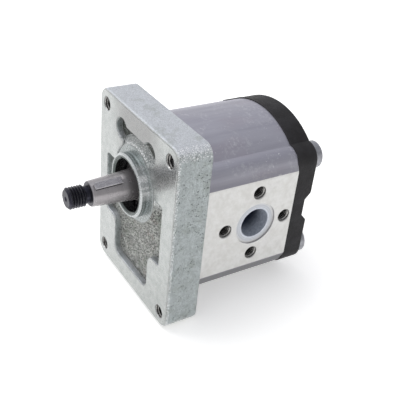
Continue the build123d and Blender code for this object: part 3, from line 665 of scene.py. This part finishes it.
COOL = (0, 0, 0.01)
CUT_THREAD = cut_thread()
MATERIALS = {
    "zinc_casting": zinc_casting(),
    "extruded_aluminium": extruded_aluminium(),
    "black_casting": black_casting(),
    "ground_steel": ground_steel(),
    "key_steel": key_steel(),
    "zinc_steel": zinc_steel(),
    "black_rubber": black_rubber(),
    "white_plastic": white_plastic(),
    "block_aluminium": plain_metal("block_aluminium", grey(0.5), grey(0.62, COOL), 0.35),
    "bush_bronze": plain_metal("bush_bronze", (0.3, 0.18, 0.08, 1), (0.42, 0.28, 0.14, 1), 0.35),
    "seal_steel": plain_metal("seal_steel", grey(0.05), grey(0.09), 0.4),
    "spring_steel": plain_metal("spring_steel", grey(0.03), grey(0.06, COOL), 0.4, turned=False),
}

for row in RECORD["subparts"]:
    node = frame["nodes"][row["node"]]
    node.data.materials.clear()
    node.data.materials.append(MATERIALS[row["material_slot"]])

# ---------------------------------------------------------------- threads in the tapped holes

POINTS_PER_PITCH = 6
THREAD_SEGMENTS = 40
THREAD_DEPTH = 0.61                         # as a share of the pitch
THREAD_GAP = 0.03                           # between the thread's grooves and the wall of the hole
FLANGE_THREAD_INSET = 0.3                   # the thread starts this far behind the face
PORT_THREAD_INSET = 0.35


def tapped_thread(name, mouth, into, hole_r, pitch, length):
    """Helical thread lining a tapped hole from its mouth, a place in metres, inwards. Sizes are in mm."""
    depth = THREAD_DEPTH * pitch
    groove_r = hole_r - THREAD_GAP
    turn = into.to_track_quat("Z", "Y")
    rows = round(length / pitch * POINTS_PER_PITCH)
    points = []
    for row in range(rows + 1):
        for segment in range(THREAD_SEGMENTS):
            angle = 2 * pi * segment / THREAD_SEGMENTS
            phase = (row / POINTS_PER_PITCH - segment / THREAD_SEGMENTS) % 1.0
            run_in = min(1.0, row / POINTS_PER_PITCH)
            radius = groove_r - depth * run_in * (1 - abs(2 * phase - 1))
            local = Vector((radius * cos(angle), radius * sin(angle), row * pitch / POINTS_PER_PITCH))
            points.append(mouth + turn @ local * MM)
    faces = []
    for row in range(rows):
        for segment in range(THREAD_SEGMENTS):
            following = (segment + 1) % THREAD_SEGMENTS
            low, high = row * THREAD_SEGMENTS, (row + 1) * THREAD_SEGMENTS
            faces.append((low + segment, high + segment, high + following, low + following))
    mesh = bpy.data.meshes.new(name)
    mesh.from_pydata(points, [], faces)
    mesh.materials.append(CUT_THREAD)
    piece = bpy.data.objects.new(name, mesh)
    bpy.context.scene.collection.objects.link(piece)
    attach(piece, "housing")


def flange_threads(pitch, length):
    """Threads in the four mounting holes, from the front face."""
    middle = Vector(MOUNTS["flange_holes"]["pos_m"])
    across = mount_mm("flange_holes", "spacing_x_mm") / 2 * MM
    up = mount_mm("flange_holes", "spacing_y_mm") / 2 * MM
    inset = Vector((0, FLANGE_THREAD_INSET * MM, 0))
    hole_r = mount_mm("flange_holes", "hole_r_mm")
    inwards = Vector((0, 1, 0))
    for number, (x, z) in enumerate(((-1, -1), (1, -1), (-1, 1), (1, 1)), 1):
        mouth = middle + Vector((x * across, 0, z * up)) + inset
        tapped_thread(f"flange_thread_{number}", mouth, inwards, hole_r, pitch, length)


def port_threads(port, side, pitch, length):
    """Threads in the four screw holes round a port, which is on the +X side or the -X side."""
    face_x = MOUNTS[f"{port}_face"]["pos_m"][0]
    centre = MOUNTS[f"{port}_screws"]["pos_m"]
    circle_r = mount_mm(f"{port}_screws", "pcd_mm") / 2 * MM
    hole_r = mount_mm(f"{port}_screws", "hole_r_mm")
    inwards = Vector((-side, 0, 0))
    for number in range(4):
        angle = number * pi / 2
        mouth = Vector((face_x, centre[1] + circle_r * cos(angle), centre[2] + circle_r * sin(angle)))
        mouth.x -= side * PORT_THREAD_INSET * MM
        name = f"{port}_thread_{number + 1}"
        tapped_thread(name, mouth, inwards, hole_r, pitch, length)


flange_threads(pitch=1.25, length=18.0)
port_threads("inlet", 1, pitch=1.25, length=13.0)
port_threads("outlet", -1, pitch=1.0, length=13.0)

# ---------------------------------------------------------------- floor, world and lights

FLOOR_SIZE = 6.0
FLOOR_GLOW = 0.38


def floor_surface():
    """White floor that glows a little, like a light table."""
    skin = Surface("studio_floor", metallic=0.0, roughness=0.7)
    mottle = skin.noise(0.004, 2, 0.5)
    skin.set("Base Color", skin.mix(mottle, (0.95, 0.94, 0.92, 1.0), (0.97, 0.96, 0.94, 1.0)))
    skin.set("Emission Color", grey(1.0))
    skin.set("Emission Strength", FLOOR_GLOW)
    return skin.material


# The pump leans back: it rests on the rear lower edges of its flange and of its cover.
flange_low, flange_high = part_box("front_flange")
cover_low, cover_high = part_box("rear_cover")
front_contact = Vector((0, flange_high.y, flange_low.z))
rear_contact = Vector((0, cover_high.y, cover_low.z))
floor_tilt = atan2(rear_contact.z - front_contact.z, rear_contact.y - front_contact.y)

bpy.ops.mesh.primitive_plane_add(size=FLOOR_SIZE, location=front_contact, rotation=(floor_tilt, 0, 0))
floor = bpy.context.object
floor.name = "studio_floor"
floor.data.materials.append(floor_surface())


def studio_world(horizon, zenith, zenith_colour, left, right):
    """Even studio light, brightest at the horizon, bluish overhead and dimmer on the inlet side."""
    world = bpy.data.worlds.new("studio")
    bpy.context.scene.world = world
    world.use_nodes = True
    tree = world.node_tree
    direction = tree.nodes.new("ShaderNodeTexCoord")
    split = tree.nodes.new("ShaderNodeSeparateXYZ")
    rising = tree.nodes.new("ShaderNodeMapRange")
    rising.inputs["To Min"].default_value = horizon
    rising.inputs["To Max"].default_value = zenith
    across = tree.nodes.new("ShaderNodeMapRange")
    across.inputs["From Min"].default_value = -1.0
    across.inputs["To Min"].default_value = left
    across.inputs["To Max"].default_value = right
    strength = tree.nodes.new("ShaderNodeMath")
    strength.operation = "MULTIPLY"
    colour = tree.nodes.new("ShaderNodeMix")
    colour.data_type = "RGBA"
    colour.inputs[6].default_value = grey(1.0)
    colour.inputs[7].default_value = zenith_colour
    tree.links.new(direction.outputs["Generated"], split.inputs[0])
    tree.links.new(split.outputs["Z"], rising.inputs["Value"])
    tree.links.new(split.outputs["X"], across.inputs["Value"])
    tree.links.new(rising.outputs["Result"], strength.inputs[0])
    tree.links.new(across.outputs["Result"], strength.inputs[1])
    tree.links.new(split.outputs["Z"], colour.inputs[0])
    tree.links.new(strength.outputs[0], tree.nodes["Background"].inputs["Strength"])
    tree.links.new(colour.outputs[2], tree.nodes["Background"].inputs["Color"])


def soft_light(name, azimuth, elevation, distance, size, power):
    """Square area light aimed at the pump. Azimuth 0 is in front of the shaft, 90 on the inlet side."""
    turn, rise = radians(azimuth), radians(elevation)
    away = Vector((sin(turn) * cos(rise), -cos(turn) * cos(rise), sin(rise)))
    data = bpy.data.lights.new(name, "AREA")
    data.shape = "SQUARE"
    data.size = size
    data.energy = power
    light = bpy.data.objects.new(name, data)
    light.location = CENTRE + away * distance
    light.rotation_euler = (-away).to_track_quat("-Z", "Y").to_euler()
    bpy.context.scene.collection.objects.link(light)


studio_world(horizon=0.81, zenith=0.68, zenith_colour=(0.95, 0.97, 1.04, 1.0), left=1.22, right=0.7)
soft_light("key_light", azimuth=-60, elevation=62, distance=2.2, size=1.54, power=21.0)

# ---------------------------------------------------------------- camera

AZIMUTH = radians(55.2)
ELEVATION = radians(32.13)
ROLL = radians(6.11)            # the pump leans back on its flange and cover, the camera is level
DISTANCE = 0.3896
AIM_RIGHT = 0.0121              # the view's centre, measured from the pump's middle
AIM_UP = -0.0022
LENS = 60.27

back = Vector((sin(AZIMUTH) * cos(ELEVATION), -cos(AZIMUTH) * cos(ELEVATION), sin(ELEVATION)))
turn = (-back).to_track_quat("-Z", "Y") @ Quaternion((0, 0, 1), ROLL)
aim = CENTRE + turn @ Vector((AIM_RIGHT, AIM_UP, 0))

camera_data = bpy.data.cameras.new("camera")
camera_data.lens = LENS
camera_data.clip_start = 0.01
camera = bpy.data.objects.new("camera", camera_data)
camera.location = aim + back * DISTANCE
camera.rotation_mode = "QUATERNION"
camera.rotation_quaternion = turn
bpy.context.scene.collection.objects.link(camera)
bpy.context.scene.camera = camera
bpy.context.scene.view_settings.view_transform = "Standard"
